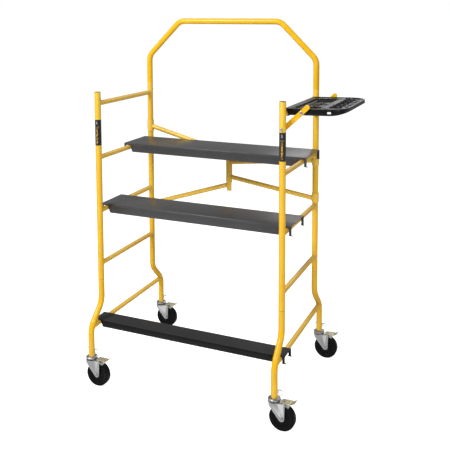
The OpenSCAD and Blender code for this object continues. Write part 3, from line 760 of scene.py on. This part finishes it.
def tray_shell():
    """The tray's pressed top and skirt, with a wall all round and the hole cut through it."""
    verts = []
    faces = []

    def add(point):
        verts.append(point)
        return len(verts) - 1

    def sheet(inset, drop, flip):
        rows = tray_grid(inset)
        ids = [[add((x, y, TRAY_TOP - drop + tray_depth(x, y))) for x, y in row] for row in rows]
        for a, b in zip(ids, ids[1:]):
            for i in range(len(a) - 1):
                quad = (a[i], a[i + 1], b[i + 1], b[i])
                faces.append(quad[::-1] if flip else quad)
        return rim(ids)

    def loop(inset, height):
        return [add((x, y, height(x) if callable(height) else height)) for x, y in rim(tray_grid(inset))]

    def join(a, b, hole=False):
        for i in range(len(a)):
            if not (hole and hole_from <= i < hole_to):
                j = (i + 1) % len(a)
                faces.append((a[i], a[j], b[j], b[i]))

    def foot(x):
        if x < RUNG_SLOT[0] + 0.6:
            return RUNG_SLOT[1]
        start, span, lift = SKIRT_LIFT
        return TRAY_FOOT + lift * (max(0.0, x - start) / span) ** 2

    def at_least(z):
        return lambda x: max(z, foot(x))

    (hole_in, hole_out), (hole_low, hole_high) = SKIRT_HOLE
    border = rim(tray_grid(0))
    at_hole = [i for i, (x, y) in enumerate(border) if y < 0 and hole_in - 0.1 < x < hole_out + 0.1]
    hole_from = at_hole[0]
    hole_to = at_hole[-1]
    top = sheet(2.5, 0.0, False)
    outer = [top, loop(1.4, TRAY_TOP - 0.35), loop(0.45, TRAY_TOP - 1.2), loop(0, TRAY_TOP - 2.6),
             loop(0, hole_high), loop(0, at_least(hole_low)), loop(0, foot)]
    under = sheet(TRAY_WALL, TRAY_WALL, True)
    inner = [loop(TRAY_WALL, foot), loop(TRAY_WALL, at_least(hole_low)), loop(TRAY_WALL, hole_high - 0.01)]
    inner.append(under)
    for k, (a, b) in enumerate(zip(outer, outer[1:])):
        join(a, b, k == 4)
    join(outer[-1], inner[0])
    for k, (a, b) in enumerate(zip(inner, inner[1:])):
        join(a, b, k == 1)
    for i in range(hole_from, hole_to):
        faces.append((outer[4][i], outer[4][i + 1], inner[2][i + 1], inner[2][i]))
        faces.append((outer[5][i], outer[5][i + 1], inner[1][i + 1], inner[1][i]))
    for i in (hole_from, hole_to):
        faces.append((outer[4][i], outer[5][i], inner[1][i], inner[2][i]))
    return verts, faces


def prism(outline, y0, y1):
    """Verts and faces of an (x, z) outline drawn out along Y."""
    count = len(outline)
    verts = [(x, y, z) for y in (y0, y1) for x, z in outline]
    faces = [tuple(range(count)), tuple(range(2 * count - 1, count - 1, -1))]
    faces += [(i, (i + 1) % count, count + (i + 1) % count, count + i) for i in range(count)]
    return verts, faces


def tool_tray():
    """The tray's shell, the clip over the rung and the ribs under its top, as one moulding."""
    clip = [(-1, TRAY_TOP - 4), (-1, CLIP_IN)] + arc(0, 0, CLIP_IN, 80, -88, 18)
    clip += arc(0, 0, CLIP_OUT, -88, 0, 10) + [(CLIP_OUT, TRAY_TOP - 4)]
    long_rib = [(13, -6), (246, -5), (268, 6), (150, 6), (140, 3), (13, 3)]
    short_rib = [(13, -6), (146, -6), (146, 3), (13, 3)]
    parts = [tray_shell(), prism(clip, -CLIP_HALF, CLIP_HALF)]
    parts += [prism(long_rib, y - 1, y + 1) for y in (-105, -35, 35, 105)]
    parts += [prism(short_rib, y - 1, y + 1) for y in (-175, 175)]
    verts, faces = merge(parts)
    verts = [TRAY_PLACE @ Vector(v) for v in verts]
    add_piece("tool_tray_moulding", verts, faces, "tray", TRAY, ("tool_tray",), 50)


ARM_ANGLE = math.radians(43.5)
ARM_LENGTH = 150.0
ARM_BOLT = 112.0
WASHER = [(3.1, -0.55), (7.6, -0.55), (8.0, -0.3), (8.0, 0.3), (7.6, 0.55), (3.1, 0.55)]


def tray_arm(node, side):
    """A tube pressed flat: rounded ends and a shallow pressed panel between them.

    Each row of the section is a pill-shaped loop: its two end centres, its radius and its height.
    """
    low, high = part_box(node)
    half_t = (high.y - low.y) / 2 / MM
    pivot = middle("tray_pivot_bolts")
    section = [(0, ARM_LENGTH, 12.0, 0.8), (0, ARM_LENGTH, 11.7, 1.9), (0, ARM_LENGTH, 11.0, 2.9),
               (0, ARM_LENGTH, 9.9, 3.6), (0, ARM_LENGTH, 8.4, 3.95), (0, ARM_LENGTH, 7.4, half_t),
               (22, 131, 7.9, half_t - 0.1), (23.5, 129.5, 7.2, half_t - 1.0),
               (24.5, 128.5, 6.2, half_t - 1.1)]
    verts = []
    faces = []

    def loop(x0, x1, r, z):
        points = arc(x0, 0, r, 90, 270, 18) + arc(x1, 0, r, -90, 90, 18)
        verts.extend((x, y, z) for x, y in points)
        return list(range(len(verts) - len(points), len(verts)))

    loops = [loop(x0, x1, r, z) for x0, x1, r, z in reversed(section)]
    loops += [loop(x0, x1, r, -z) for x0, x1, r, z in section]
    for a, b in zip(loops, loops[1:]):
        for i in range(len(a)):
            j = (i + 1) % len(a)
            faces.append((a[i], a[j], b[j], b[i]))
    faces += [tuple(loops[0][::-1]), tuple(loops[-1])]
    turn = upright_to_y((pivot.x, (low.y + high.y) / 2, pivot.z))
    turn = turn @ Matrix.Rotation(ARM_ANGLE, 4, "Z") @ Matrix.Scale(MM, 4)
    verts = [turn @ Vector(v) for v in verts]
    add_piece(node + "_pressed", verts, faces, "tray", YELLOW, (node,), 55)
    washer, quads = lathe(WASHER, 40)
    spot = turn @ Matrix.Translation((ARM_BOLT, 0, -side * (half_t - 0.5)))
    add_piece(node + "_washer", [spot @ v for v in washer], quads, "tray", ZINC)


# ---------------------------------------------------------------- casters


TREAD_HALF = 16 * MM


def wheel_profile(half):
    """Half the wheel's section from the bore out to the tread, then its mirror image."""
    r = WHEEL_R
    side = [
        (5.1, 18), (9.5, 18), (11, 17.4), (12.5, 15), (13.5, 13), (16, 12), (24, 11.6), (38, 11.4),
        (41, 11.8), (43.5, 13.6), (45, 14.8), (50.5, 15.2), (52, 14.9), (52.5, 14.2), (53.4, 14.2),
        (54, 14.9), (56, 15.6), (58.5, 15.9),
    ]
    points = [(x * MM, h * MM) for x, h in side]
    points += [(r - 3.2 * MM, half - 0.3 * MM), (r - 1.6 * MM, half - 1.6 * MM)]
    points += [(r - 0.6 * MM, half - 4 * MM), (r - 0.1 * MM, half - 8 * MM), (r, half - 12 * MM)]
    return points + [(x, -h) for x, h in reversed(points)]


def caster_wheel(corner):
    """The wheel turned from its section, in place of the CAD wheel."""
    node = corner + "_caster_wheel"
    verts, faces = lathe(wheel_profile(TREAD_HALF), 128)
    turn = upright_to_y(middle(node))
    verts = [turn @ v for v in verts]
    add_piece(corner + "_tyre", verts, faces, corner + "_wheel", RUBBER, (node,), 50)


def both_sides(name, profile, turn, body, material):
    """The same small ring, given as (radius, height) in millimetres, on both ends of an axis."""
    verts, faces = merge(lathe([(r * MM, way * h * MM) for r, h in profile], 64) for way in (1, -1))
    add_piece(name, [turn @ v for v in verts], faces, body, material)


def axle_ends(corner):
    """A raised ring round the hollow in each end of the axle bolt, with a dark disc at the bottom of the
    hollow as painted shade.
    """
    node = corner + "_caster_axle"
    half = size(node).y / 2 / MM
    turn = upright_to_y(middle(node))
    profile = [(2.4, half - 0.6), (2.7, half + 0.9), (3.3, half + 1.1), (4.2, half + 0.9), (4.6, half - 0.6)]
    both_sides(corner + "_axle_ends", profile, turn, corner + "_swivel", ZINC)
    # Painted shade: a dark bare-steel disc sits at the bottom of each hollow.
    hollow = [(0.15, half - 0.3), (0.15, half + 0.12), (2.5, half + 0.2), (2.5, half - 0.3)]
    both_sides(corner + "_axle_shade_discs", hollow, turn, corner + "_swivel", BARE)


def casters():
    """Every caster's wheel, axle ends and rounded steel parts."""
    for corner in CORNERS:
        caster = corner + "_caster_"
        caster_wheel(corner)
        axle_ends(corner)
        soften(caster + "fork", corner + "_swivel", ZINC, 0.9 * MM)
        soften(caster + "shoe", corner + "_swivel", SHOE, 0.7 * MM)
        soften(caster + "axle", corner + "_swivel", ZINC, 0.7 * MM)
        soften(caster + "stem", "frame", ZINC, 0.8 * MM)
        soften(caster + "pedal", corner + "_brake", PEDAL, 0.6 * MM)


# ---------------------------------------------------------------- post ends and seams

LINING_DEPTH = 60 * MM
LINING_T = 0.82 * MM
SEAM_Z = 528 * MM
SEAM_HALF = 1.1 * MM
SEAM_BEND = 0.9 * MM


def post_end(name, x, y):
    """The bare sawn end of an open post, with the unpainted tube inside it."""
    lining = POST_BORE - 0.08 * MM
    inside = lining - LINING_T
    over = POST_R - 0.25 * MM
    profile = [(inside, -LINING_DEPTH), (lining, -LINING_DEPTH), (lining, 0.04 * MM), (over, 0.04 * MM),
               (over, 0.35 * MM), (inside, 0.6 * MM)]
    verts, faces = lathe(profile, 64)
    at = Vector((x, y, POST_TOP))
    add_piece(name, [at + v for v in verts], faces, "frame", BARE)


def post_seam(name, x, y):
    """The closed joint between a post and its leg: a slightly raised ring coloured in painted shade."""
    inside = POST_R - 0.4 * MM
    side = POST_R + 0.12 * MM
    profile = [(inside, -SEAM_HALF), (side, -SEAM_BEND), (POST_R + 0.3 * MM, 0), (side, SEAM_BEND),
               (inside, SEAM_HALF)]
    verts, faces = lathe(profile, 64)
    at = Vector((x, y, SEAM_Z))
    add_piece(name, [at + v for v in verts], faces, "frame", SEAM)


def posts():
    """Sawn ends on the two open front posts, and a seam in all four."""
    for side, x in (("left", LEFT_X), ("right", RIGHT_X)):
        post_end("front_" + side + "_post_end", x, FRONT_Y)
        post_seam("front_" + side + "_post_seam", x, FRONT_Y)
        post_seam("rear_" + side + "_post_seam", x, REAR_Y)


# ---------------------------------------------------------------- what is shown


def assign_materials():
    """Gives every CAD node the material of its slot, and each label its own."""
    by_slot = {
        "yellow_paint": YELLOW, "deck_coat": DECK, "step_coat": STEP, "tray_plastic": TRAY,
        "zinc_plate": ZINC, "yellow_zinc": PEDAL, "bearing_steel": BEARING, "wheel_rubber": RUBBER,
    }
    labels = {
        "left_wrap_label": label_film("left_wrap_label", LEFT_X),
        "right_wrap_label": label_film("right_wrap_label", RIGHT_X),
    }
    for part in frame["record"]["subparts"]:
        node = frame["nodes"][part["node"]]
        material = labels.get(part["node"]) or by_slot[part["material_slot"]]
        node.data.materials.clear()
        node.data.materials.append(material)


SOFT_LIGHT = 0.30
FLOOR_GLOW = 0.76
FLOOR_REACH = 400
FLOOR_DROP = 0.2 * MM
# Name, place, the point it shines at, watts and width
LAMPS = (
    ("key", (-1.8, -2.9, 4.3), (0, 0, 0.9), 195, 1.6),
    ("fill", (3.4, -2.2, 2.6), (0, 0, 0.9), 50, 1.4),
    ("back", (0.4, 3.6, 3.2), (0, 0, 1.1), 32, 2.4),
)
CAMERA_AT = (CENTRE_X + 1.5419, -3.3199, 1.9444)
CAMERA_TURN = (math.pi / 2 - 0.096, 0.0032, 0.4106)
SENSOR = 36
LENS = 56.26
LENS_SHIFT = -0.328


def surroundings():
    """White behind the object, and a soft even light from all round."""
    world = bpy.data.worlds.new("studio")
    bpy.context.scene.world = world
    world.use_nodes = True
    tree = world.node_tree
    soft = tree.nodes["Background"]
    soft.inputs["Color"].default_value = (1, 1, 1, 1)
    soft.inputs["Strength"].default_value = SOFT_LIGHT
    seen = tree.nodes.new("ShaderNodeBackground")
    seen.inputs["Color"].default_value = (1, 1, 1, 1)
    rays = tree.nodes.new("ShaderNodeLightPath")
    choose = tree.nodes.new("ShaderNodeMixShader")
    tree.links.new(rays.outputs["Is Camera Ray"], choose.inputs[0])
    tree.links.new(soft.outputs[0], choose.inputs[1])
    tree.links.new(seen.outputs[0], choose.inputs[2])
    tree.links.new(choose.outputs[0], tree.nodes["World Output"].inputs["Surface"])


def pale_floor():
    """A wide floor that looks nearly as white as what is behind it."""
    n = Nodes("pale_floor")
    n.set(Base_Color=n.mix(n.noise(3, 4), (0.90, 0.90, 0.90), (0.93, 0.93, 0.93)), Roughness=0.75)
    n.bump(n.noise(200, 2), 0.03)
    glow = n.tree.nodes.new("ShaderNodeLightPath").outputs["Is Camera Ray"]
    n.set(Emission_Color=(1, 1, 1), Emission_Strength=n.math("MULTIPLY", glow, FLOOR_GLOW))
    mesh = bpy.data.meshes.new("floor")
    far = FLOOR_REACH
    mesh.from_pydata([(-far, -far, 0), (far, -far, 0), (far, far, 0), (-far, far, 0)], [], [(0, 1, 2, 3)])
    floor = bpy.data.objects.new("floor", mesh)
    mesh.materials.append(n.material)
    bpy.context.scene.collection.objects.link(floor)
    floor.location.z = -FLOOR_DROP


def lamp(name, at, aim, power, width):
    data = bpy.data.lights.new(name, "AREA")
    data.energy = power
    data.size = width
    light = bpy.data.objects.new(name, data)
    light.location = at
    light.rotation_euler = (Vector(aim) - Vector(at)).to_track_quat("-Z", "Y").to_euler()
    bpy.context.scene.collection.objects.link(light)


def shift_at_height(data, camera, shift):
    """Shifts the lens while the camera stands at its present height, so that other views are centred."""
    driver = data.driver_add("shift_y").driver
    height = driver.variables.new()
    height.name = "height"
    height.type = "TRANSFORMS"
    height.targets[0].id = camera
    height.targets[0].transform_type = "LOC_Z"
    height.targets[0].transform_space = "WORLD_SPACE"
    driver.type = "SCRIPTED"
    driver.expression = f"{shift} if abs(height - {camera.location.z:.4f}) < 0.001 else 0"


def main_camera():
    """The camera the object is mainly seen from, with its lens shifted down."""
    data = bpy.data.cameras.new("camera")
    data.sensor_width = SENSOR
    data.lens = LENS
    camera = bpy.data.objects.new("camera", data)
    camera.location = CAMERA_AT
    camera.rotation_euler = CAMERA_TURN
    bpy.context.scene.collection.objects.link(camera)
    bpy.context.scene.camera = camera
    shift_at_height(data, camera, LENS_SHIFT)


def studio():
    """A plain pale setting with three soft lamps and the camera."""
    bpy.context.scene.view_settings.view_transform = "Standard"
    surroundings()
    pale_floor()
    for setting in LAMPS:
        lamp(*setting)
    main_camera()


assign_materials()
weld_piece("left_ladder_welds", rung_joints(LEFT_X))
weld_piece("right_ladder_welds", rung_joints(RIGHT_X))
weld_piece("left_brace_welds", bar_joints(LEFT_X, LEFT_BARS, HINGE_R))
weld_piece("right_brace_welds", bar_joints(RIGHT_X, RIGHT_BARS, BARREL_R))
deck_skin("top_deck", "upper_deck", DECK, TOP_RUNG - RUNG_PITCH)
deck_skin("middle_deck", "lower_deck", DECK, TOP_RUNG - 2 * RUNG_PITCH)
deck_skin("bottom_step", "foot_step", STEP, FOOT_RUNG)
posts()
tool_tray()
tray_arm("front_tray_arm", -1)
tray_arm("rear_tray_arm", 1)
soften("tray_bolts", "tray", ZINC, 0.6 * MM)
soften("tray_pivot_bolts", "frame", ZINC, 0.6 * MM)
casters()
studio()
